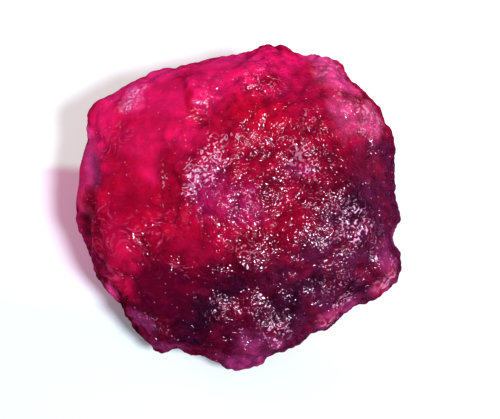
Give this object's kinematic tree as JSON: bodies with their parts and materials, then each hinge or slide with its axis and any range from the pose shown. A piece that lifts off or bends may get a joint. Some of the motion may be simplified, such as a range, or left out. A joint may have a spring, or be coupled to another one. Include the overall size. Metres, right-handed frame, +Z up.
{
  "type": "rough red beryl",
  "caption": "Rough lump of translucent red beryl with broken, pebbly faces, ledges and pits, lying on a flat underside.",
  "frame": {"origin": "on the resting face, under the middle of the stone's bounding box", "axes": "+Z up from the resting face, +X to the stone's right and longest way, -Y to its front, where the dark lower slope is"},
  "size_m": [0.0378, 0.0366, 0.0208],
  "materials": {
    "red_beryl": "gloss"
  },
  "bodies": {
    "root": {"stone": "red_beryl"}
  },
  "joints": []
}
